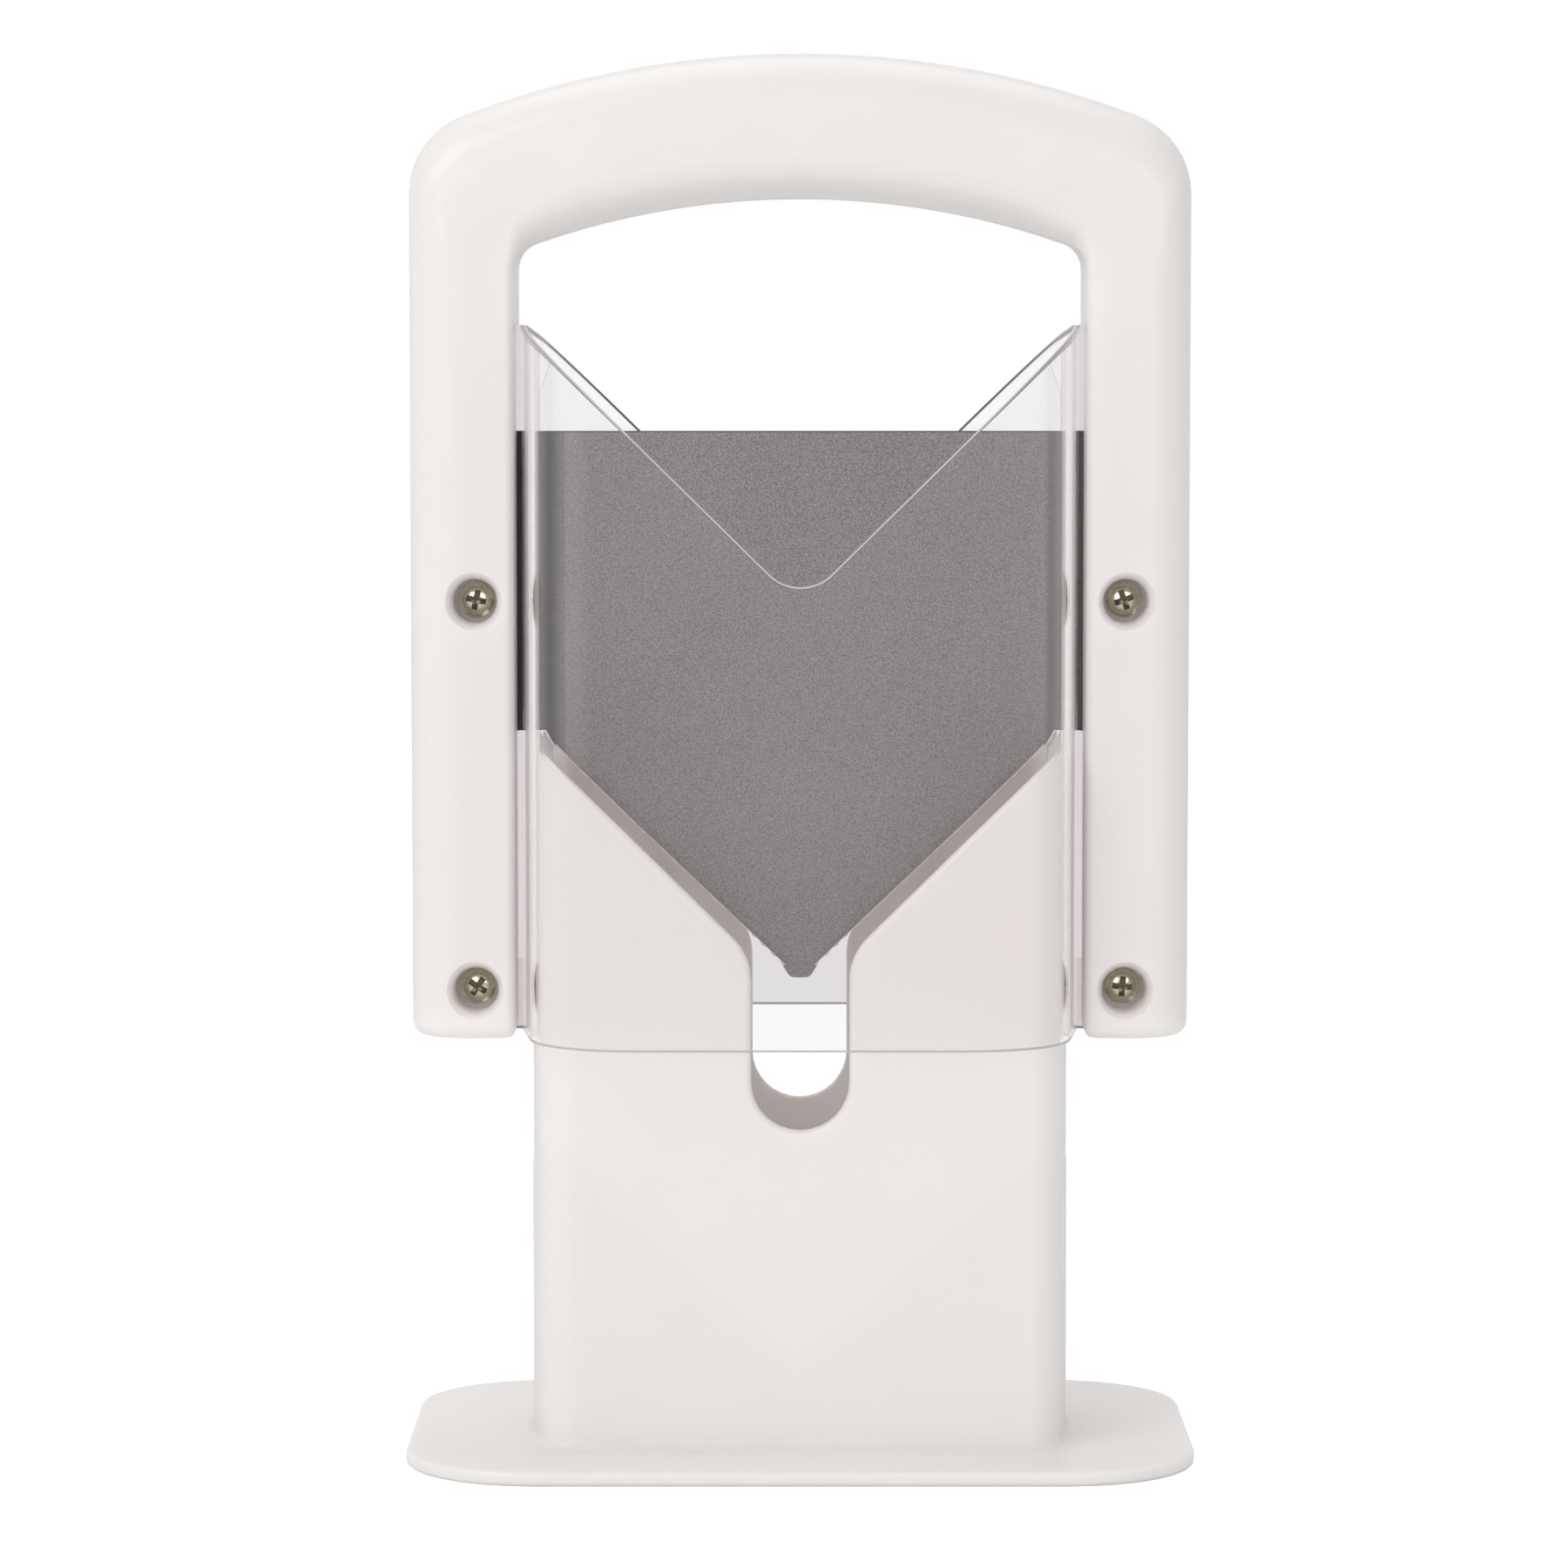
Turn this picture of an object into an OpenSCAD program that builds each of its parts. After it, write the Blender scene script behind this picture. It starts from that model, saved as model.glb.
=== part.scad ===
// Bagel slicer: a holder with an open pocket, and a handle frame that slides down over it
// with a V-shaped blade between two clear guards. Millimetres, +Z up, front at -Y.
// The origin is the middle of the holder's footprint, on the table.

/* [Holder] */
// Width of the holder across its end walls
holder_w = 91; // [84:0.2:98]
// Depth of the holder, front wall to back wall, outside
holder_d = 45.8; // [40:0.2:50]
// Height of the end walls above the table
holder_h = 121.6; // [112:0.2:130]
// Thickness of the holder's walls
wall_t = 2.5; // [1.8:0.1:3.2]
// How far each end wall leans in from its middle, in degrees
end_lean = 5.7; // [3:0.1:7]
// Radius of the holder's upright corners, outside
holder_corner_r = 6; // [5:0.1:9]
// Radius of the rounded lips along the notches
lip_r = 1; // [0.5:0.1:1.2]
// Radius of the fillet where the walls meet the foot plate
foot_fillet_r = 1.6; // [0.8:0.1:2]

/* [Foot plate] */
// Width of the foot plate
foot_w = 132; // [126:0.5:150]
// Depth of the foot plate, front to back
foot_d = 85; // [78:0.5:95]
// Thickness of the foot plate
foot_t = 2.4; // [2:0.1:4]
// Radius of the foot plate's corners
foot_corner_r = 22; // [12:0.5:24]
// Radius of the foot plate's edges
foot_edge_r = 0.8; // [0.4:0.1:1.2]

/* [Notches and pocket] */
// Angle of the notches, the floor and the guards' V above the level
v_angle = 44.5; // [42:0.1:47]
// How far below the top of the end walls the sides of the holder's V would meet
notch_v_drop = 44.2; // [40:0.2:46]
// Width of the U at the foot of each notch
notch_u_w = 16.3; // [12:0.1:20]
// How far below the top of the end walls the U's lowest point is
notch_u_drop = 65.6; // [58:0.2:74]
// Radius that leads each V into its U
notch_lead_r = 10; // [6:0.5:12]
// Thickness of the pocket's sloping floor
floor_t = 2.2; // [1.6:0.1:3]
// How far the blade's point sinks below the floor at the end of a cut
cut_through = 5; // [4:0.5:8]
// Width of the slit in the floor that the blade's edge enters
slit_w = 3; // [2.4:0.1:4]
// Width of the slots that guide the blade through the end walls
end_slot_w = 5.5; // [4.6:0.1:7]
// Room below the blade's shoulders in the end slots at the end of a cut
end_slot_room = 6.3; // [2:0.1:10]
// Distance of each upright rib from the middle of the pocket
rib_x = 24; // [16:0.5:30]
// Width of each upright rib
rib_w = 1.4; // [1:0.1:2.4]
// How far each rib stands out from its wall
rib_h = 1.6; // [1:0.1:2.4]

/* [Handle] */
// Height of the handle above the foot plate in the stored, raised position
lift = 67.5; // [60:0.1:70]
// Height of the handle, foot of the legs to the top of the arch
handle_h = 165.2; // [158:0.2:175]
// Width of each leg
leg_w = 17.7; // [16:0.1:20]
// Depth of the handle, front to back
handle_d = 24; // [20:0.2:28]
// Thickness of the arch at the top
arch_t = 24.1; // [20:0.1:28]
// Outer radius of the arch
arch_r = 160; // [140:1:200]
// Outer radius of the shoulders
shoulder_r = 14; // [11:0.5:16]
// Radius of the inner upper corners
inner_corner_r = 4.5; // [3:0.1:6]
// Radius of the legs' outer edges
leg_edge_r = 6.5; // [4:0.1:7]
// Radius of the legs' inner edges
leg_inner_edge_r = 1.5; // [0.8:0.1:2.4]
// Radius of the arch's upper edges
arch_edge_r = 8.5; // [6:0.1:9]
// Radius of the arch's lower edges
grip_edge_r = 7; // [4:0.1:9]
// How much the front and back of the handle bulge
crown = 0.6; // [0.2:0.1:1]
// Radius at the foot of each leg
leg_foot_r = 2.6; // [1.5:0.1:3]
// Wall thickness of the two handle shells
shell_t = 2.4; // [1.8:0.1:3]
// Gap between each leg and the guard beside it
leg_gap = 0.5; // [0.3:0.1:1.2]

/* [Guards] */
// Wall thickness of the clear guards
guard_t = 1.1; // [0.8:0.1:1.4]
// Gap between the guards and the middle of the holder's end walls
guard_gap = 0.7; // [0.6:0.05:1.4]
// How far each guard's side leans in from its root, in degrees
guard_lean = 6.5; // [5:0.1:7]
// Depth across both guards, front to back
guards_d = 70; // [60:0.5:76]
// Radius of the guards' upright corners
guard_corner_r = 18; // [8:0.5:19]
// Height of the guards
guard_h = 119.1; // [114:0.1:124]
// Height of the guards' lower edge above the foot of the legs
guard_rise = 0.8; // [0.3:0.1:2]
// Height at which the sides of the guards' V would meet, above the foot of the legs
guard_v_rise = 74.3; // [68:0.1:80]
// Radius at the bottom of the guards' V
guard_v_r = 7.2; // [4:0.1:12]
// Thickness of the flanges that the legs clamp
flange_t = 2; // [1.6:0.1:2.6]
// How far the flanges and the blade reach into the legs
clamp_depth = 12.6; // [11.5:0.1:12.8]

/* [Blade] */
// Thickness of the blade
blade_t = 1; // [0.8:0.1:1.2]
// Height of the blade's top edge above the foot of the legs
blade_top_rise = 102.1; // [96:0.1:108]
// Height of the blade's shoulders above the foot of the legs
blade_shoulder_rise = 51.5; // [50.5:0.1:54]
// Width of the blade between its shoulders
blade_w = 88.2; // [84:0.2:88.6]
// Length of the plain edge beside each shoulder, measured level
blade_plain_w = 2.2; // [1:0.1:4]
// Height of the plain edge beside each shoulder
edge_drop = 2.9; // [2:0.1:4]
// Angle of the scalloped edge above the level
edge_angle = 43.6; // [42:0.1:45]
// Width of the blade's point at the lower end of the scallops
nose_w = 6.1; // [4.6:0.1:10]
// Height of the plain point below the scallops
nose_h = 2.2; // [1:0.1:3]
// Steepness of the point's sides, in degrees
nose_angle = 57; // [50:1:70]
// Radius of the point's two corners
nose_r = 1.3; // [0.6:0.1:1.6]
// Length of each scallop along the edge
scallop_l = 2.3; // [1.8:0.05:3]
// Depth of each scallop
scallop_h = 0.34; // [0.2:0.02:0.5]
// Width of the ground bevel along the edge
bevel_w = 1.6; // [1:0.1:2.4]
// Thickness left at the cutting edge
edge_t = 0.3; // [0.2:0.05:0.5]

/* [Screws] */
// Distance of the screws from the legs' inner faces
screw_inset = 6.7; // [6.3:0.1:6.9]
// Height of the lower screws above the foot of the legs
screw_rise = 8.4; // [8:0.1:14]
// Distance from the lower screws up to the upper ones
screw_pitch = 65.4; // [50:0.1:80]
// Diameter of the screws' shanks
screw_d = 3; // [2.5:0.1:3.2]
// Length of the screws under the head
screw_l = 12; // [10:0.5:12.5]
// Diameter of the screws' heads
head_d = 6; // [5:0.1:6.6]
// Height of the screws' heads
head_h = 2.2; // [1.6:0.1:2.6]
// Diameter of the wells that the heads sit in
well_d = 7.5; // [7:0.1:8]
// Diameter of each well's mouth
well_mouth_d = 9.8; // [8.6:0.1:10.4]
// Depth of each well's tapered mouth
well_mouth_h = 1.9; // [1:0.1:2.4]
// Thickness of the seat under each head
seat_t = 1.6; // [1.2:0.1:2]

/* [Clearances] */
// Gap between two clamped pieces that don't bear on each other
fit_gap = 0.1; // [0.05:0.05:0.2]
// Gap round a screw's shank
shank_gap = 0.2; // [0.1:0.05:0.3]
// Gap between the legs and the foot plate at the end of a cut
stop_gap = 0.4; // [0.3:0.1:0.8]

/* [Hidden] */
$fn = 48;

// Length by which a cut runs past the face it opens, and a bevel past the scallops
past = 1;
bevel_past = 0.4;
// Steps along a quarter of a small round edge, and of a large corner
edge_steps = 4;
corner_steps = 8;
// Steps along the shoulder and along half of the arch
shoulder_steps = 8;
arch_steps = 9;

// Levels: the foot of the legs as stored, and the lowest they reach
leg_z = foot_t + lift;
leg_low_z = foot_t + stop_gap;
guard_z = leg_z + guard_rise;
blade_top_z = leg_z + blade_top_rise;
blade_shoulder_z = leg_z + blade_shoulder_rise;
edge_top_x = blade_w / 2 - blade_plain_w;
edge_top_z = blade_shoulder_z - edge_drop;
edge_low_x = nose_w / 2;
edge_z = edge_top_z - (edge_top_x - edge_low_x) * tan(edge_angle);
blade_tip_z = edge_z - nose_h;
floor_z = leg_low_z + blade_tip_z - leg_z + cut_through;

// Levels of the notches and of the end slots' lowest point
notch_v_z = holder_h - notch_v_drop;
notch_u_z = holder_h - notch_u_drop;
end_slot_z = leg_low_z + blade_shoulder_rise - end_slot_room;

// Half widths, from the holder outwards
guard_x = holder_w / 2 + guard_gap + guard_t;
leg_in_x = guard_x + leg_gap;
leg_out_x = leg_in_x + leg_w;
clamp_x = leg_in_x + clamp_depth;
screw_x = leg_in_x + screw_inset;
lower_z = leg_z + screw_rise;
upper_z = lower_z + screw_pitch;

// Half thickness of what the legs clamp, and the depth of the screws' seats from the middle
stack = flange_t;
seat_y = stack + seat_t;
boss_d = well_d + 2.6;
anchor_d = screw_d + 4;
hole_d = screw_d + 2 * shank_gap;
slope = tan(v_angle);

// Arch: height of its centre, and the angles where the shoulder and the inner corner meet it
arch_z = leg_z + handle_h - arch_r;
arch_in_r = arch_r - arch_t;
shoulder_c = [
    leg_out_x - shoulder_r,
    sqrt(pow(arch_r - shoulder_r, 2) - pow(leg_out_x - shoulder_r, 2)) + arch_z
];
inner_c = [
    leg_in_x - inner_corner_r,
    sqrt(pow(arch_in_r - inner_corner_r, 2) - pow(leg_in_x - inner_corner_r, 2)) + arch_z
];
shoulder_a = atan2(shoulder_c[0], shoulder_c[1] - arch_z);
inner_a = atan2(inner_c[0], inner_c[1] - arch_z);

// Turn of each screw's cross: upper left, upper right, lower left, lower right
screw_turns = [12, -20, 34, 5];

// Locating pins between the two shells, as angles along the arch
pin_angles = [-15, 0, 15];
pin_d = 3;
pin_l = 3;
pin_boss_d = 6.4;

// Points of an arc about c, from angle a0 to a1
function arc_pts(c, r, a0, a1, n) =
    [for (i = [0:n]) let (a = a0 + (a1 - a0) * i / n) [c[0] + r * cos(a), c[1] + r * sin(a)]];

// An outline symmetric about both axes, from its quarter that starts on the X axis
function four_way(q) = concat(
    q,
    [for (i = [len(q) - 1:-1:0]) [-q[i][0], q[i][1]]],
    [for (i = [1:len(q) - 1]) -q[i]],
    [for (i = [len(q) - 1:-1:1]) [q[i][0], -q[i][1]]]
);

// Plan outline with leaning ends: half width hw at the middle, half depth hd, grown by grow
function leaning_plan(hw, hd, lean, r, grow) =
    let (cy = hd - r)
    let (cx = hw - (r + cy * sin(lean)) / cos(lean))
    four_way(concat(
        [[hw + grow / cos(lean), 0]],
        arc_pts([cx, cy], r + grow, lean, 90, corner_steps)
    ));

// Plan outline of the foot plate, drawn in by inset
function foot_plan(inset) =
    let (c = [foot_w / 2 - foot_corner_r, foot_d / 2 - foot_corner_r])
    four_way(concat(
        [[foot_w / 2 - inset, 0]],
        arc_pts(c, foot_corner_r - inset, 0, 90, corner_steps)
    ));

function holder_plan(grow) =
    leaning_plan(holder_w / 2, holder_d / 2, end_lean, holder_corner_r, grow);

function guard_plan(grow) =
    leaning_plan(guard_x, guards_d / 2, guard_lean, guard_corner_r, grow);

// Right half of the notch outline in the front view, grown into the wall by grow:
// the U's quarter circle, the lead-in arc, then the straight side of the V
function notch_side(grow) =
    let (u_r = notch_u_w / 2)
    let (lead_x = u_r + notch_lead_r)
    let (lead_z = notch_v_z + lead_x * slope - notch_lead_r / cos(v_angle))
    let (end_x = leg_out_x)
    concat(
        arc_pts([0, notch_u_z + u_r], u_r + grow, -90, 0, corner_steps),
        arc_pts([lead_x, lead_z], notch_lead_r - grow, 180, 90 + v_angle, corner_steps),
        [[end_x + grow * sin(v_angle), notch_v_z + end_x * slope - grow * cos(v_angle)]]
    );

function notch_outline(grow) =
    let (side = notch_side(grow))
    concat(side, [for (i = [len(side) - 1:-1:1]) [-side[i][0], side[i][1]]]);

// Right half of a plain V outline with a rounded bottom, its sides meeting at height z
function v_side(z, r, end_x) = concat(
    arc_pts([0, z + r / cos(v_angle)], r, -90, v_angle - 90, corner_steps),
    [[end_x, z + end_x * slope]]
);

function v_outline(z, r, end_x) =
    let (side = v_side(z, r, end_x))
    concat(side, [for (i = [len(side) - 1:-1:1]) [-side[i][0], side[i][1]]]);

// Solid through rings of equally many points, closed at both ends
module loft(rings) {
    n = len(rings[0]);
    m = len(rings);
    sides = [
        for (k = [0:m - 2]) for (i = [0:n - 1]) each [
            [k * n + i, (k + 1) * n + i, (k + 1) * n + (i + 1) % n],
            [k * n + i, (k + 1) * n + (i + 1) % n, k * n + (i + 1) % n]
        ]
    ];
    polyhedron(
        points = [for (ring = rings) each ring],
        faces = concat(
            [[for (i = [0:n - 1]) i]],
            sides,
            [[for (i = [0:n - 1]) (m - 1) * n + n - 1 - i]]
        )
    );
}

// Upright prism on a plan outline
module prism(outline, z0, z1) {
    translate([0, 0, z0])
        linear_extrude(z1 - z0)
            polygon(outline);
}

// Prism on a front-view outline, running from y0 to y1
module front_prism(outline, y0, y1) {
    translate([0, y1, 0])
        rotate([90, 0, 0])
            linear_extrude(y1 - y0)
                polygon(outline);
}

// Rod along Y between y0 and y1, at x and z
module rod_y(d, x, z, y0, y1) {
    translate([x, y1, z])
        rotate([90, 0, 0])
            cylinder(d = d, h = y1 - y0);
}

// Foot plate with rounded edges, a fillet up to the walls, and the walls' outside
module holder_outside() {
    loft(concat(
        [
            for (i = [0:edge_steps])
                let (a = 90 * i / edge_steps)
                [
                    for (p = foot_plan(foot_edge_r * (1 - sin(a))))
                        [p[0], p[1], foot_edge_r * (1 - cos(a))]
                ]
        ],
        [
            for (i = [0:edge_steps])
                let (a = 90 * i / edge_steps)
                let (z = foot_t - foot_edge_r * (1 - sin(a)))
                [for (p = foot_plan(foot_edge_r * (1 - cos(a)))) [p[0], p[1], z]]
        ],
        [
            for (i = [0:edge_steps])
                let (a = 90 * i / edge_steps)
                let (z = foot_t + foot_fillet_r * (1 - cos(a)))
                [for (p = holder_plan(foot_fillet_r * (1 - sin(a)))) [p[0], p[1], z]]
        ],
        [[for (p = holder_plan(0)) [p[0], p[1], holder_h]]]
    ));
}

// The hollow inside the walls, less the sloping floor that crosses it
module holder_inside() {
    side_x = holder_w;
    floor_drop = floor_t / cos(v_angle);
    difference() {
        prism(holder_plan(-wall_t), -past, holder_h + past);
        front_prism([
            [-side_x, floor_z + side_x * slope],
            [-side_x, floor_z + side_x * slope - floor_drop],
            [0, floor_z - floor_drop],
            [side_x, floor_z + side_x * slope - floor_drop],
            [side_x, floor_z + side_x * slope],
            [0, floor_z]
        ], -holder_d, holder_d);
    }
}

// V and U notch through the front and back walls, with rounded lips outside and inside
module notch() {
    outer = holder_d / 2;
    inner = outer - wall_t;
    flare = [for (i = [0:edge_steps]) let (a = 90 * i / edge_steps) [1 - cos(a), sin(a)]];
    inner_lip = lip_r / 2;
    half = concat(
        [for (f = flare) [outer - lip_r + lip_r * f[1], lip_r * f[0]]],
        [[outer + past, lip_r + past]]
    );
    inward = [for (i = [edge_steps:-1:1]) [inner + inner_lip * (1 - flare[i][1]), inner_lip * flare[i][0]]];
    profile = concat([[0, inner_lip]], inward, half);
    rings = concat(
        [for (i = [len(profile) - 1:-1:1]) [-profile[i][0], profile[i][1]]],
        profile
    );
    loft([for (p = rings) [for (q = notch_outline(p[1])) [q[0], -p[0], q[1]]]]);
}

// Slots for the blade through both end walls, round at the bottom
module end_slots() {
    slot_r = end_slot_w / 2;
    reach = holder_w + 2 * past;
    translate([-reach / 2, 0, end_slot_z + slot_r])
        rotate([90, 0, 90])
            linear_extrude(reach)
                union() {
                    circle(slot_r);
                    translate([-slot_r, 0])
                        square([end_slot_w, holder_h]);
                }
}

// Upright ribs that centre the bagel between the front and back walls
module ribs() {
    intersection() {
        prism(holder_plan(-wall_t / 2), 0, holder_h);
        for (side_x = [-rib_x, rib_x], side_y = [-1, 1])
            translate([side_x - rib_w / 2, side_y * (holder_d / 2 - wall_t - rib_h / 2) - (rib_h + wall_t) / 2, 0])
                cube([rib_w, rib_h + wall_t, holder_h]);
        front_prism([
            [-holder_w, floor_z + holder_w * slope],
            [0, floor_z],
            [holder_w, floor_z + holder_w * slope]
        ], -holder_d, holder_d);
    }
}

module holder() {
    color([0.93, 0.92, 0.91])
    difference() {
        union() {
            difference() {
                holder_outside();
                holder_inside();
            }
            ribs();
        }
        notch();
        end_slots();
        translate([-holder_w / 2 + wall_t, -slit_w / 2, -past])
            cube([holder_w - 2 * wall_t, slit_w, holder_h]);
    }
}

// Half cross-section of the handle, w wide and d deep, from its inner side to its outer side
function handle_section(w, d, in_r, out_r) =
    let (flat_y = d - crown)
    let (raw = concat(
        [[0, 0]],
        arc_pts([in_r, flat_y - in_r], in_r, 180, 90, edge_steps),
        [[w / 2, flat_y]],
        arc_pts([w - out_r, flat_y - out_r], out_r, 90, 0, edge_steps + 2),
        [[w, 0]]
    ))
    [for (p = raw) [p[0], p[1] * (1 + crown / flat_y * (1 - pow(2 * p[0] / w - 1, 2)))]];

// Blend from 0 to 1 with level ends
function ease(t) = let (u = min(1, max(0, t))) u * u * (3 - 2 * u);

// Stations from the foot of the right leg to the top of the arch:
// inner point, outer point, inset at the foot, inner edge radius, outer edge radius
function right_stations() = concat(
    [
        for (i = [0:edge_steps])
            let (a = 90 * i / edge_steps)
            let (in_by = leg_foot_r * (1 - sin(a)))
            let (z = leg_z + leg_foot_r * (1 - cos(a)))
            [[leg_in_x + in_by / 2, z], [leg_out_x - in_by, z], in_by, leg_inner_edge_r, leg_edge_r]
    ],
    [[[leg_in_x, inner_c[1]], [leg_out_x, inner_c[1]], 0, leg_inner_edge_r, leg_edge_r]],
    [
        for (i = [0:shoulder_steps])
            let (t = i / shoulder_steps)
            let (ai = (90 - inner_a) * (i + 1) / (shoulder_steps + 1))
            let (ao = (90 - shoulder_a) * t)
            [
                inner_c + inner_corner_r * [cos(ai), sin(ai)],
                shoulder_c + shoulder_r * [cos(ao), sin(ao)],
                0,
                leg_inner_edge_r + (grip_edge_r - leg_inner_edge_r) * ease(t * 0.6),
                leg_edge_r + (arch_edge_r - leg_edge_r) * ease(t)
            ]
    ],
    [
        for (i = [1:arch_steps])
            let (t = i / arch_steps)
            [
                [arch_in_r * sin(inner_a * (1 - t)), arch_in_r * cos(inner_a * (1 - t)) + arch_z],
                [arch_r * sin(shoulder_a * (1 - t)), arch_r * cos(shoulder_a * (1 - t)) + arch_z],
                0,
                leg_inner_edge_r + (grip_edge_r - leg_inner_edge_r) * ease(0.6 + t * 1.6),
                arch_edge_r
            ]
    ]
);

// All stations, right foot to left foot
function all_stations() =
    let (right = right_stations())
    concat(right, [
        for (i = [len(right) - 2:-1:0]) [
            [-right[i][0][0], right[i][0][1]],
            [-right[i][1][0], right[i][1][1]],
            right[i][2], right[i][3], right[i][4]
        ]
    ]);

// Ring of points at one station, drawn in by skin and run past the parting plane
function handle_ring(s, skin) =
    let (w0 = norm(s[1] - s[0]))
    let (e = (s[1] - s[0]) / w0)
    let (w = w0 - 2 * skin)
    let (d = handle_d / 2 - s[2] - skin)
    let (in_r = max(s[3] - skin, leg_inner_edge_r / 2))
    let (out_r = max(s[4] - skin, leg_inner_edge_r))
    let (section = handle_section(w, d, in_r, out_r))
    [
        for (i = [len(section) - 1:-1:0])
            let (p = section[i])
            let (q = s[0] + e * (p[0] + skin))
            [q[0], p[1] == 0 ? -past : p[1], q[1]]
    ];

// Hollow of the half shell, closed above the foot of each leg
module handle_half_inside() {
    right = right_stations();
    first = right[edge_steps + 1];
    foot = [[leg_in_x, leg_z + shell_t + leg_foot_r], [leg_out_x, leg_z + shell_t + leg_foot_r], 0, first[3], first[4]];
    hollow = concat([foot], [for (i = [edge_steps + 1:len(right) - 1]) right[i]]);
    loft(concat(
        [for (s = hollow) handle_ring(s, shell_t)],
        [
            for (i = [len(hollow) - 2:-1:0])
                handle_ring([
                    [-hollow[i][0][0], hollow[i][0][1]],
                    [-hollow[i][1][0], hollow[i][1][1]],
                    hollow[i][2], hollow[i][3], hollow[i][4]
                ], shell_t)
        ]
    ));
}

// Half of the handle behind the parting plane, as a shell
module handle_half() {
    difference() {
        loft([for (s = all_stations()) handle_ring(s, 0)]);
        handle_half_inside();
        translate([-leg_out_x - past, -handle_d, 0])
            cube([2 * (leg_out_x + past), handle_d, leg_z + handle_h + past]);
    }
}

// Places where the four screws cross the legs
function screw_places() = [
    for (side = [-1, 1], z = [lower_z, upper_z]) [side * screw_x, z]
];

// Places of the locating pins along the middle of the arch
function pin_places() = [
    for (a = pin_angles) [(arch_r - arch_t / 2) * sin(a), arch_z + (arch_r - arch_t / 2) * cos(a)]
];

// Room in one half of the legs for a flange and half the blade, open at the foot
module clamp_room() {
    room_w = clamp_depth + fit_gap + past;
    room_h = guard_rise + guard_h + fit_gap + past;
    for (side = [0, 1])
        mirror([side, 0, 0])
            translate([leg_in_x - past, -past, leg_z - past])
                cube([room_w, stack + past, room_h]);
}

// Rear shell: pegs on the arch and blind anchors for the screws
module handle_rear() {
    color([0.94, 0.93, 0.92])
    difference() {
        union() {
            handle_half();
            for (p = screw_places())
                rod_y(anchor_d, p[0], p[1], 0, handle_d / 2 - shell_t / 2);
            for (p = pin_places())
                rod_y(pin_boss_d, p[0], p[1], 0, handle_d / 2 - shell_t / 2);
            for (p = pin_places())
                rod_y(pin_d, p[0], p[1], -pin_l, pin_l);
        }
        clamp_room();
        for (p = screw_places())
            rod_y(screw_d + shank_gap, p[0], p[1], -past, screw_l - seat_y + past / 2);
    }
}

// Front shell: wells and seats for the screw heads, and sockets for the pegs
module handle_front() {
    color([0.94, 0.93, 0.92])
    mirror([0, 1, 0])
    difference() {
        union() {
            handle_half();
            for (p = screw_places())
                rod_y(boss_d, p[0], p[1], 0, handle_d / 2 - shell_t / 2);
            for (p = pin_places())
                rod_y(pin_boss_d, p[0], p[1], 0, handle_d / 2 - shell_t / 2);
        }
        clamp_room();
        for (p = screw_places()) {
            rod_y(hole_d, p[0], p[1], -past, seat_y + past);
            rod_y(well_d, p[0], p[1], seat_y, handle_d);
            translate([p[0], handle_d / 2 + past / 2, p[1]])
                rotate([90, 0, 0])
                    cylinder(
                        d1 = well_mouth_d + (well_mouth_d - well_d) * past / 2 / well_mouth_h,
                        d2 = well_d,
                        h = well_mouth_h + past / 2
                    );
        }
        for (p = pin_places())
            rod_y(pin_d + 2 * fit_gap, p[0], p[1], -past, pin_l + fit_gap);
    }
}

// Scalloped edge of the blade's right side, from start up to end
function scallops(start, end) =
    let (along = end - start)
    let (count = round(norm(along) / scallop_l))
    let (u = along / norm(along))
    let (inward = [-u[1], u[0]])
    let (half = norm(along) / count / 2)
    let (r = (half * half + scallop_h * scallop_h) / (2 * scallop_h))
    let (sweep = asin(half / r))
    [
        for (k = [0:count - 1]) for (j = [0:edge_steps - 1])
            let (a = -sweep + 2 * sweep * j / edge_steps)
            start + u * (half * (2 * k + 1) + r * sin(a)) + inward * (r * cos(a) - r + scallop_h)
    ];

// Right half of the blade's outline in the front view, from the middle of its point
function blade_side() =
    let (corner_x = edge_low_x - nose_h / tan(nose_angle))
    let (centre = [corner_x - nose_r * tan(nose_angle / 2), blade_tip_z + nose_r])
    concat(
        arc_pts(centre, nose_r, -90, nose_angle - 90, edge_steps),
        scallops([edge_low_x, edge_z], [edge_top_x, edge_top_z]),
        [
            [edge_top_x, edge_top_z],
            [blade_w / 2, blade_shoulder_z],
            [clamp_x, blade_shoulder_z],
            [clamp_x, blade_top_z]
        ]
    );

function blade_outline() =
    let (side = blade_side())
    concat(side, [for (i = [len(side) - 1:-1:0]) [-side[i][0], side[i][1]]]);

// Wedges that grind both faces of the blade along its scallops
module bevel_cut() {
    grind_a = atan2((blade_t - edge_t) / 2, bevel_w);
    length = norm([edge_top_x - edge_low_x, edge_top_z - edge_z]);
    for (side = [0, 1], face = [0, 1])
        mirror([side, 0, 0])
            mirror([0, face, 0])
                translate([edge_low_x, edge_t / 2, edge_z])
                    rotate([0, -edge_angle, 0])
                        rotate([-grind_a, 0, 0])
                            translate([-bevel_past, 0, -bevel_w])
                                cube([length + 2 * bevel_past, blade_t * 2, 3 * bevel_w]);
}

module blade() {
    color([0.55, 0.53, 0.52])
    difference() {
        front_prism(blade_outline(), -blade_t / 2, blade_t / 2);
        bevel_cut();
        for (side = [-1, 1])
            rod_y(hole_d, side * screw_x, upper_z, -blade_t, blade_t);
    }
}

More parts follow.
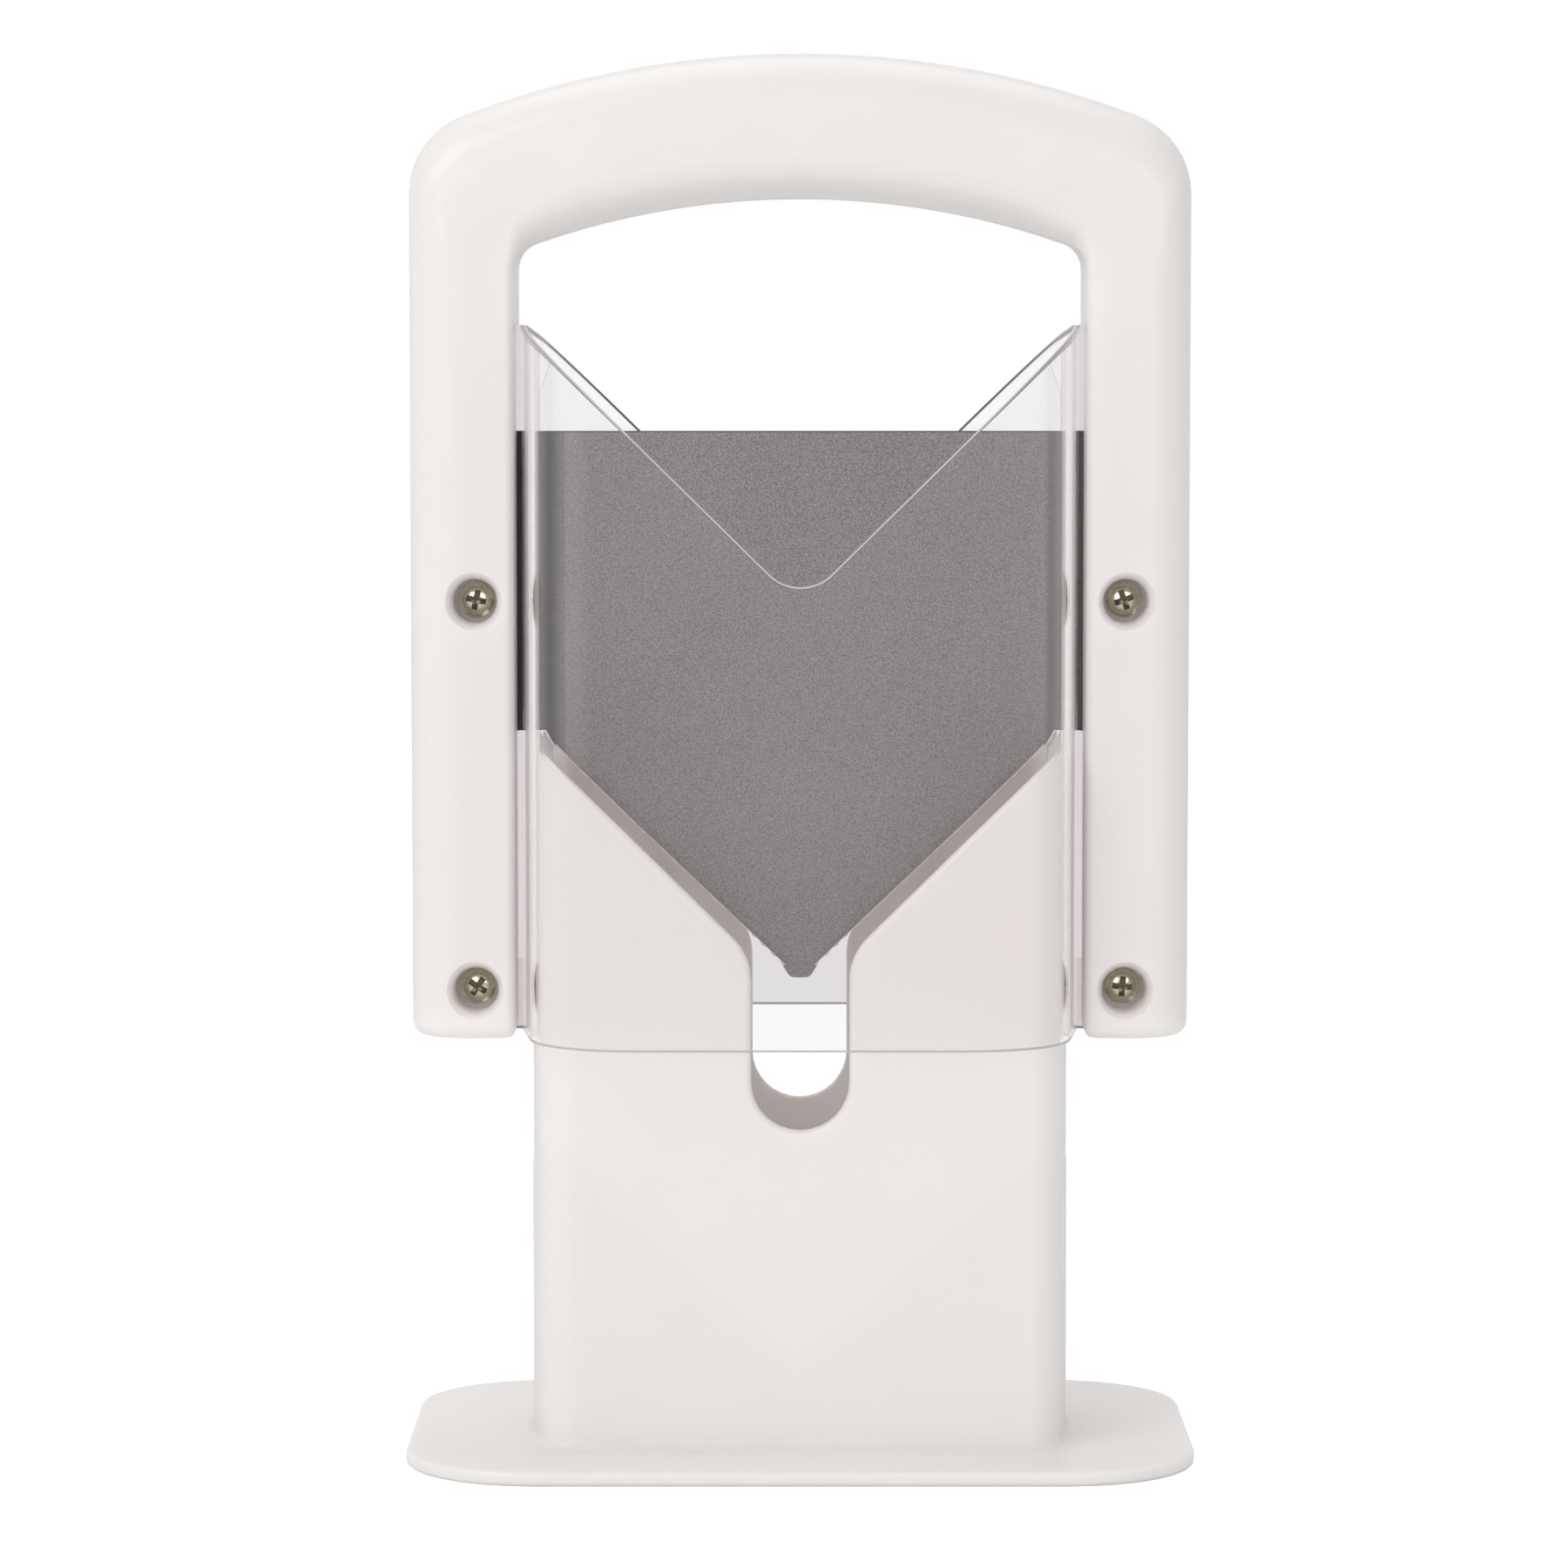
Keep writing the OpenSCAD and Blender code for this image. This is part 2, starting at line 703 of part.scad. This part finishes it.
// One clear guard behind the blade: three walls, two flanges, a V across the top
module guard() {
    difference() {
        union() {
            difference() {
                prism(guard_plan(0), guard_z, guard_z + guard_h);
                prism(guard_plan(-guard_t), guard_z - past, guard_z + guard_h + past);
                translate([-leg_out_x, -guards_d, guard_z - past])
                    cube([2 * leg_out_x, guards_d, guard_h + 2 * past]);
            }
            for (side = [-1, 1])
                translate([side * (clamp_x + guard_x - guard_t) / 2, stack / 2, guard_z + guard_h / 2])
                    cube([clamp_x - guard_x + guard_t, stack, guard_h], center = true);
        }
        translate([-clamp_x - past, -past, blade_shoulder_z - fit_gap])
            cube([2 * (clamp_x + past), past + blade_t / 2, blade_top_z - blade_shoulder_z + 2 * fit_gap]);
        front_prism(v_outline(leg_z + guard_v_rise, guard_v_r, leg_out_x * 2), -past, guards_d);
        for (p = screw_places())
            rod_y(hole_d, p[0], p[1], -past, stack + past);
    }
}

module guard_rear() {
    color([0.86, 0.87, 0.9, 0.35])
        guard();
}

module guard_front() {
    color([0.86, 0.87, 0.9, 0.35])
        mirror([0, 1, 0])
            guard();
}

// Cross-head screw with a domed head, seated in its well, turned by turn
module screw(x, z, turn) {
    dome_r = (head_d * head_d / 4 + head_h * head_h) / (2 * head_h);
    rim_h = head_h * 0.45;
    cross_w = head_d * 0.16;
    cross_l = head_d * 0.56;
    cross_h = head_h * 0.6;
    color([0.62, 0.58, 0.5])
    translate([x, -seat_y, z])
        rotate([90, turn, 0])
            difference() {
                union() {
                    translate([0, 0, -screw_l])
                        cylinder(d = screw_d, h = screw_l + rim_h / 2);
                    cylinder(d = head_d, h = rim_h);
                    translate([0, 0, rim_h])
                        intersection() {
                            translate([0, 0, head_h - rim_h - dome_r])
                                sphere(dome_r);
                            cylinder(d = head_d, h = head_h);
                        }
                }
                for (a = [0, 90])
                    rotate([0, 0, a])
                        translate([-cross_l / 2, -cross_w / 2, head_h - cross_h])
                            cube([cross_l, cross_w, head_h]);
            }
}

module screw_upper_left() { screw(-screw_x, upper_z, screw_turns[0]); }
module screw_upper_right() { screw(screw_x, upper_z, screw_turns[1]); }
module screw_lower_left() { screw(-screw_x, lower_z, screw_turns[2]); }
module screw_lower_right() { screw(screw_x, lower_z, screw_turns[3]); }

holder();
handle_front();
handle_rear();
blade();
guard_front();
guard_rear();
screw_upper_left();
screw_upper_right();
screw_lower_left();
screw_lower_right();
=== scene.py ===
"""Looks of the bagel slicer: warm white mouldings, clear guards, a speckled coated blade
and plated screws, on a pale floor in soft studio light."""

import math

import bmesh
import bpy
import numpy as np
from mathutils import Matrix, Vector


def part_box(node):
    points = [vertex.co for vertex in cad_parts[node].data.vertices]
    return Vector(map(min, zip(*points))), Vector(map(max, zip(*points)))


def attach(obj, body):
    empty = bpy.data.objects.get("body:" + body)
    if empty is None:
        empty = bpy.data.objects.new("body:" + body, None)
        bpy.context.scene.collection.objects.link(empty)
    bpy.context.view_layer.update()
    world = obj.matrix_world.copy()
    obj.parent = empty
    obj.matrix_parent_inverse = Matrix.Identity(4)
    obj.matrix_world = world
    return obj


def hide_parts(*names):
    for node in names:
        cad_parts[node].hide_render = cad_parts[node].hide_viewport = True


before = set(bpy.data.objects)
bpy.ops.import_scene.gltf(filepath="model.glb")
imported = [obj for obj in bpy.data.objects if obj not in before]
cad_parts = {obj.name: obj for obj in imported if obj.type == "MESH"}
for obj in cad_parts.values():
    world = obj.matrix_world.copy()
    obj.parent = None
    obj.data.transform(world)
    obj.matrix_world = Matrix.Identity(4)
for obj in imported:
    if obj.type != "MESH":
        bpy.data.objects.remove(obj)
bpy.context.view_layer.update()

WHITE = (1, 1, 1, 1)
SHARP = math.radians(32.0)  # edges that turn more than this are rounded and shaded apart
WELD = 2e-6  # corners of the loose triangles closer than this are one corner
FLAT = math.radians(0.6)  # faces that turn less than this are joined into one

VEE_ANGLE = math.radians(44.5)  # slope of the sides of the guards' V cut, from level
VEE_ROUNDING = 0.0072  # radius at the bottom of the V cut
VEE_POINT = 0.07345  # height above the guards' foot at which the sides of the V would meet
VEE_LINE = 0.00037  # width of the painted line along the cut edge of the V
FOOT_LINE = 0.0003  # height of the painted shade line along the guards' lower edge

RIM_LINE = 0.0003  # height of the dark line along the blade's top edge
BARE_HALF = 0.00024  # the plate is bare where the grinding left it less than twice this thick
BARE_DROP = 0.004  # bare steel starts this far below the blade's top edge

DOME_FALL = 175.0  # a screw head's dome falls by this times the square of the way from its middle
DOME_EVENED = 115.0  # as much of that fall as the bump takes out of the shading
CROSS_REACH = 4.4e-6  # square of the way from the middle to the ends of the cross recess

SLICER_MIDDLE = Vector((0.0, 0.0, 0.12))
CAMERA_PLACE = (-0.0027, -0.9657, 0.1875)
CAMERA_AIM = Vector((-0.0027, 0.0, 0.1122))
FLOOR_HALF = 3.0  # half the floor's width and depth


class Sock:
    """A shader socket with arithmetic: an expression on values adds its Math nodes."""

    def __init__(self, graph, socket):
        self.g, self.s = graph, socket

    def _math(self, op, a, b=0.0):
        return self.g.node("ShaderNodeMath", {"operation": op}, {0: a, 1: b})

    def __add__(self, o): return self._math("ADD", self, o)
    def __radd__(self, o): return self._math("ADD", o, self)
    def __sub__(self, o): return self._math("SUBTRACT", self, o)
    def __rsub__(self, o): return self._math("SUBTRACT", o, self)
    def __mul__(self, o): return self._math("MULTIPLY", self, o)
    def __rmul__(self, o): return self._math("MULTIPLY", o, self)
    def __gt__(self, o): return self._math("GREATER_THAN", self, o)
    def __lt__(self, o): return self._math("LESS_THAN", self, o)
    def __abs__(self): return self._math("ABSOLUTE", self)
    def min(self, o): return self._math("MINIMUM", self, o)
    def max(self, o): return self._math("MAXIMUM", self, o)
    def root(self): return self._math("SQRT", self)


class Graph:
    """The node tree of a material or of the world."""

    def __init__(self, owner):
        owner.use_nodes = True
        self.owner, self.tree = owner, owner.node_tree
        self.tree.nodes.clear()

    def node(self, kind, settings=None, inputs=None, out=0):
        """Add a node: its settings first, then its inputs; the result is its output out."""
        n = self.tree.nodes.new(kind)
        for key, value in (settings or {}).items():
            setattr(n, key, value)
        for key, value in (inputs or {}).items():
            if isinstance(value, Sock):
                self.tree.links.new(value.s, n.inputs[key])
            else:
                n.inputs[key].default_value = value
        return Sock(self, n.outputs[out])

    def place(self):
        return self.node("ShaderNodeTexCoord", out="Object")

    def part(self, vector, axis):
        return self.node("ShaderNodeSeparateXYZ", None, {0: vector}, out=axis)

    def ramp(self, value, low, high):
        """0 below low, 1 above high, smooth between."""
        return self.node("ShaderNodeMapRange", {"interpolation_type": "SMOOTHSTEP"},
                         {"Value": value, "From Min": low, "From Max": high})

    def noise(self, vector, scale, detail=2.0, rough=0.5):
        return self.node("ShaderNodeTexNoise", None, {
            "Vector": vector, "Scale": scale, "Detail": detail, "Roughness": rough})

    def mix(self, factor, a, b):
        """Colour a where factor is 0, colour b where it is 1."""
        return self.node("ShaderNodeMix", {"data_type": "RGBA"}, {0: factor, 6: a, 7: b}, out=2)

    def blend(self, factor, a, b):
        """Shader a where factor is 0, shader b where it is 1."""
        return self.node("ShaderNodeMixShader", None, {0: factor, 1: a, 2: b})

    def glow(self, colour, strength):
        return self.node("ShaderNodeEmission", None, {"Color": colour, "Strength": strength})

    def ray(self, kind):
        """What Light Path says of a ray, such as Is Shadow Ray."""
        return self.node("ShaderNodeLightPath", out=kind)

    def seen_through_guards(self):
        """1 on rays that pass the clear guards on their way from the lens."""
        return self.ray("Is Transmission Ray") * (self.ray("Diffuse Depth") < 0.5)

    def finish(self, shader):
        kind = "World" if isinstance(self.owner, bpy.types.World) else "Material"
        out = self.tree.nodes.new("ShaderNodeOutput" + kind)
        self.tree.links.new(shader.s, out.inputs[0])
        return self.owner


def rgb(r, g, b):
    """Linear colour from 0 to 255 screen values: the sRGB curve undone."""
    c = np.array([r, g, b]) / 255.0
    lin = np.where(c <= 0.04045, c / 12.92, ((c + 0.055) / 1.055) ** 2.4)
    return (*lin.tolist(), 1.0)


def white_moulding():
    """Warm white ABS that lets a little light through: faint large-scale drift of tone, very fine
    orange peel in the gloss."""
    m = Graph(bpy.data.materials.new("white_moulding"))
    p = m.place()
    drift = m.noise(p, 22.0)
    peel = m.noise(p, 900.0, 1.0)
    tone = m.mix(drift, rgb(245, 239, 236), rgb(249, 243, 241))
    bump = m.node("ShaderNodeBump", None, {"Strength": 0.03, "Distance": 0.0002, "Height": peel})
    return m.finish(m.node("ShaderNodeBsdfPrincipled", None, {
        "Base Color": tone, "Roughness": 0.29 + 0.07 * drift, "IOR": 1.53, "Normal": bump,
        "Subsurface Weight": 0.6, "Subsurface Radius": (1.0, 1.0, 1.0), "Subsurface Scale": 0.004}))


def vee_cut(x, z, low_z):
    """How deep a point lies behind the cut edge of the guards' V, and 1 where it isn't in the V.

    The V is a sharp wedge that opens upwards, grown by its rounding. A point's distance to the
    wedge is measured square to its side, or below its tip straight to the tip."""
    above = z - (low_z + VEE_POINT + VEE_ROUNDING / math.cos(VEE_ANGLE))
    away = abs(x) * math.sin(VEE_ANGLE) - above * math.cos(VEE_ANGLE)
    along = (abs(x) * math.cos(VEE_ANGLE) + above * math.sin(VEE_ANGLE)).min(0.0)
    return (away * away + along * along).root() - VEE_ROUNDING, away > 0.0


def clear_moulding(name, low_z, grey_height, edge_light, edge_dark, foot_edge):
    """Clear plastic: lamp light passes it, and light trapped in its walls is painted as a pale
    lilac glow.

    The lowest part of the wall, frost metres high, is greyer and a little rougher. The cut edge of
    the V at the top is painted as a fine line of painted reflection and shade: edge_light outside,
    edge_dark inside. The lower edge at low_z is a painted shade line in the tone foot_edge."""
    m = Graph(bpy.data.materials.new(name))
    p = m.place()
    x, z = m.part(p, "X"), m.part(p, "Z")
    haze = m.noise(p, 40.0)
    # the wall's lowest band is greyer and a little rougher
    greyer_band = 1.0 - m.ramp(z, low_z + grey_height - 0.0002, low_z + grey_height)

    depth, behind = vee_cut(x, z, low_z)
    foot = z < low_z + FOOT_LINE
    # painted lines of reflection and shade along the V's cut edge and along the foot
    line = ((depth < VEE_LINE) * behind).max(foot * 0.8)
    painted_line_tone = m.mix(foot, m.mix(m.ramp(depth, 0.0002, 0.0003), edge_light, edge_dark), foot_edge)

    body = m.node("ShaderNodeBsdfPrincipled", None, {
        "Base Color": m.mix(greyer_band, rgb(250, 249, 249), rgb(228, 226, 226)),
        "Roughness": 0.005 + 0.01 * haze + 0.03 * greyer_band, "IOR": 1.45, "Transmission Weight": 1.0})
    through = m.node("ShaderNodeBsdfTransparent", None, {"Color": rgb(250, 249, 249)})
    painted_line_look = m.node("ShaderNodeBsdfPrincipled", None, {"Base Color": painted_line_tone, "Roughness": 0.3})
    # a painted glow on rays that have bounced four or more times stands in for the light trapped in
    # the walls
    trapped = m.ray("Ray Depth") > 3.5
    with_painted_glow = m.blend(trapped, body, m.glow(rgb(228, 223, 226), 1.0))
    edged = m.blend(line * 0.85, with_painted_glow, painted_line_look)
    lamp_light = m.ray("Is Shadow Ray").max(m.ray("Is Diffuse Ray"))
    return m.finish(m.blend(lamp_light, edged, through))


def coated_steel(top_z):
    """Non-stick coating: mid grey with fine light and dark grains, darker along the top edge at
    top_z, and painted shade by the guards' corners with a painted lighter band just inside it.

    Where the grinding has thinned the plate, at its cutting edge, bare steel shows, painted near
    white: its lighter colour with a painted highlight on top."""
    m = Graph(bpy.data.materials.new("coated_steel"))
    p = m.place()
    x, z = m.part(p, "X"), m.part(p, "Z")
    coarse = m.noise(p, 3600.0, 2.0, 0.7)
    cloud = m.noise(p, 30.0)
    grain = (coarse - 0.5) * 2.6 + (cloud - 0.5) * 0.2 + 0.5
    tone = m.mix(grain.min(1.0).max(0.0), rgb(102, 97, 97), rgb(163, 157, 157))

    left = 0.0 - x
    # painted light and shade for the guards' rounded corners: a painted lighter band, then painted
    # shade towards the sides
    pale = m.ramp(left, 0.0350, 0.0385)
    shade = (m.ramp(left, 0.0399, 0.0405) * 0.28 + m.ramp(left, 0.0405, 0.0435) * 0.70
             + m.ramp(x, 0.0415, 0.0435) * 0.60).min(1.0)
    shaded = m.mix(shade, m.mix(pale * 0.16, tone, rgb(205, 199, 199)), rgb(30, 27, 28))
    rim = m.ramp(z, top_z - RIM_LINE, top_z - RIM_LINE + 0.0001)
    darkened = m.mix(rim * 0.6, shaded, rgb(60, 56, 56))

    # bare steel at the cutting edge, painted near white: its own lighter colour plus a painted
    # highlight
    bare = (abs(m.part(p, "Y")) < BARE_HALF) * (z < top_z - BARE_DROP)
    bump = m.node("ShaderNodeBump", None, {"Strength": 0.25, "Distance": 0.0001, "Height": coarse})
    return m.finish(m.node("ShaderNodeBsdfPrincipled", None, {
        "Base Color": m.mix(bare, darkened, rgb(226, 222, 220)), "Roughness": 0.42 + 0.15 * coarse,
        "Metallic": 0.15 * (1.0 - bare), "Normal": bump}))


def head_middle(node):
    """Middle of a screw head's front face."""
    low, high = np.array(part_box(node))
    return [(low[0] + high[0]) / 2, low[1], (low[2] + high[2]) / 2]


def plated_screw(upper, lower):
    """Nickel plate: dark where it mirrors the room, bright where it mirrors a lamp.

    upper and lower are the middles of the heads' front faces of one pair. The bump evens out
    part of the heads' dome, and what lies below that dome, the cross recess, is darkened with
    painted shade."""
    m = Graph(bpy.data.materials.new("plated_screw"))
    p = m.place()
    wear = m.noise(p, 1500.0, 3.0)
    across = abs(m.part(p, "X")) - abs(upper[0])
    z = m.part(p, "Z")
    up = abs(z - upper[2]).min(abs(z - lower[2]))
    spread = across * across + up * up
    sunk = m.part(p, "Y") - upper[1] - spread * DOME_FALL
    # painted shade darkens the cross recess
    recess = m.ramp(sunk, 0.0002, 0.0005) * (spread < CROSS_REACH)
    plate = m.mix(wear, rgb(176, 168, 146), rgb(216, 210, 192))
    bump = m.node("ShaderNodeBump", None, {
        "Strength": 1.0, "Distance": 1.0, "Height": spread * DOME_EVENED})
    return m.finish(m.node("ShaderNodeBsdfPrincipled", None, {
        "Base Color": m.mix(recess * 0.85, plate, rgb(46, 40, 30)), "Metallic": 1.0,
        "Roughness": 0.12 + 0.10 * wear, "Normal": bump}))


def dressed(node, body, material, edge=0.0002):
    """A merged, smooth-shaded copy of a CAD node, its sharp edges rounded by edge metres."""
    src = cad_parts[node]
    mesh = src.data.copy()
    obj = bpy.data.objects.new(node + "_shown", mesh)
    bpy.context.scene.collection.objects.link(obj)
    mesh.materials.clear()
    mesh.materials.append(material)
    bm = bmesh.new()
    bm.from_mesh(mesh)
    bmesh.ops.remove_doubles(bm, verts=bm.verts, dist=WELD)
    bmesh.ops.dissolve_limit(bm, angle_limit=FLAT, verts=bm.verts, edges=bm.edges)
    bmesh.ops.recalc_face_normals(bm, faces=bm.faces)
    for f in bm.faces:
        f.smooth = True
    for e in bm.edges:
        e.smooth = not (len(e.link_faces) == 2 and e.calc_face_angle(0) > SHARP)
    bm.to_mesh(mesh)
    bm.free()
    if edge:
        bev = obj.modifiers.new("edges", "BEVEL")
        bev.width = edge
        bev.segments = 2
        bev.limit_method = "ANGLE"
        bev.angle_limit = SHARP
        bev.harden_normals = True
        bev.use_clamp_overlap = True
    even = obj.modifiers.new("even", "WEIGHTED_NORMAL")
    even.mode = "FACE_AREA"
    even.weight = 50
    even.keep_sharp = True
    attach(obj, body)
    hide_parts(node)


def studio_world():
    """White to the lens and through the guards; a dim room, paler at the back, in reflections."""
    w = Graph(bpy.data.worlds.new("studio"))
    bpy.context.scene.world = w.owner
    back = w.ramp(w.part(w.node("ShaderNodeTexCoord", out="Generated"), "Y"), -0.4, 0.8)
    glossy = w.ray("Is Glossy Ray")
    level = glossy * (0.45 + 0.40 * back) + (1.0 - glossy) * 0.60
    white_seen = w.ray("Is Camera Ray").max(w.seen_through_guards())
    w.finish(w.node("ShaderNodeBackground", None, {
        "Color": WHITE, "Strength": white_seen + (1.0 - white_seen) * level}))


def studio_floor():
    """A pale floor, lifted to white for the lens and through the guards. In reflections its part
    far in front of the slicer fades into the dim room."""
    s = FLOOR_HALF
    mesh = bpy.data.meshes.new("floor")
    mesh.from_pydata([(-s, -s, 0), (s, -s, 0), (s, s, 0), (-s, s, 0)], [], [(0, 1, 2, 3)])
    floor = bpy.data.objects.new("floor", mesh)
    bpy.context.scene.collection.objects.link(floor)

    m = Graph(bpy.data.materials.new("floor"))
    plain = m.node("ShaderNodeBsdfDiffuse", None, {"Color": (0.95, 0.95, 0.95, 1)})
    lifted = m.node("ShaderNodeAddShader", None, {0: plain, 1: m.glow(WHITE, 0.5)})
    near = m.ramp(m.part(m.place(), "Y"), -2.6, -0.4)
    room = m.blend(m.ray("Is Glossy Ray") * (1.0 - near), plain, m.glow(WHITE, 0.48))
    seen = m.blend(m.ray("Is Camera Ray"), room, lifted)
    mesh.materials.append(m.finish(m.blend(m.seen_through_guards(), seen, m.glow(WHITE, 1.0))))
    m.owner.cycles.emission_sampling = "NONE"


def aimed(name, data, place, aim):
    """A lamp or camera at place that looks at aim."""
    obj = bpy.data.objects.new(name, data)
    obj.location = place
    obj.rotation_euler = (aim - Vector(place)).to_track_quat("-Z", "Y").to_euler()
    bpy.context.scene.collection.objects.link(obj)
    return obj


def lamp(name, place, side, watts):
    """A square area lamp, side metres wide, aimed at the middle of the slicer."""
    data = bpy.data.lights.new(name, "AREA")
    data.shape = "RECTANGLE"
    data.size = data.size_y = side
    data.energy = watts
    aimed(name, data, place, SLICER_MIDDLE)


guard_low_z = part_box("guard_rear")[0][2]
white = white_moulding()
# after the grey band's height: tones of the painted lines outside and inside the V edge, then along
# the foot
clear_front = clear_moulding("clear_front", guard_low_z, -0.01,
                             rgb(200, 196, 198), rgb(112, 106, 110), rgb(190, 189, 184))
clear_rear = clear_moulding("clear_rear", guard_low_z, 0.012,
                            rgb(112, 107, 110), rgb(112, 107, 110), rgb(160, 157, 155))
steel = coated_steel(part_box("blade")[1][2])
nickel = plated_screw(head_middle("screw_upper_left"), head_middle("screw_lower_left"))

dressed("holder", "base", white)
dressed("handle_front", "cutter", white)
dressed("handle_rear", "cutter", white)
dressed("blade", "cutter", steel, 0.0)
dressed("guard_front", "cutter", clear_front, 0.0003)
dressed("guard_rear", "cutter", clear_rear, 0.0003)
for place in ("upper_left", "upper_right", "lower_left", "lower_right"):
    dressed("screw_" + place, "cutter", nickel, 0.0001)

studio_world()
studio_floor()
lamp("key", (-0.9, -1.0, 1.2), 0.9, 6.6)
lamp("front_left", (-0.36, -1.55, 0.39), 0.42, 1.9)
lamp("front_right", (0.36, -1.55, 0.39), 0.42, 1.4)
lamp("top", (0.0, 0.4, 1.4), 1.0, 3.2)

cam_data = bpy.data.cameras.new("camera")
cam_data.sensor_width = 36.0
cam_data.lens = 131.1
bpy.context.scene.camera = aimed("camera", cam_data, CAMERA_PLACE, CAMERA_AIM)
bpy.context.scene.view_settings.view_transform = "Standard"
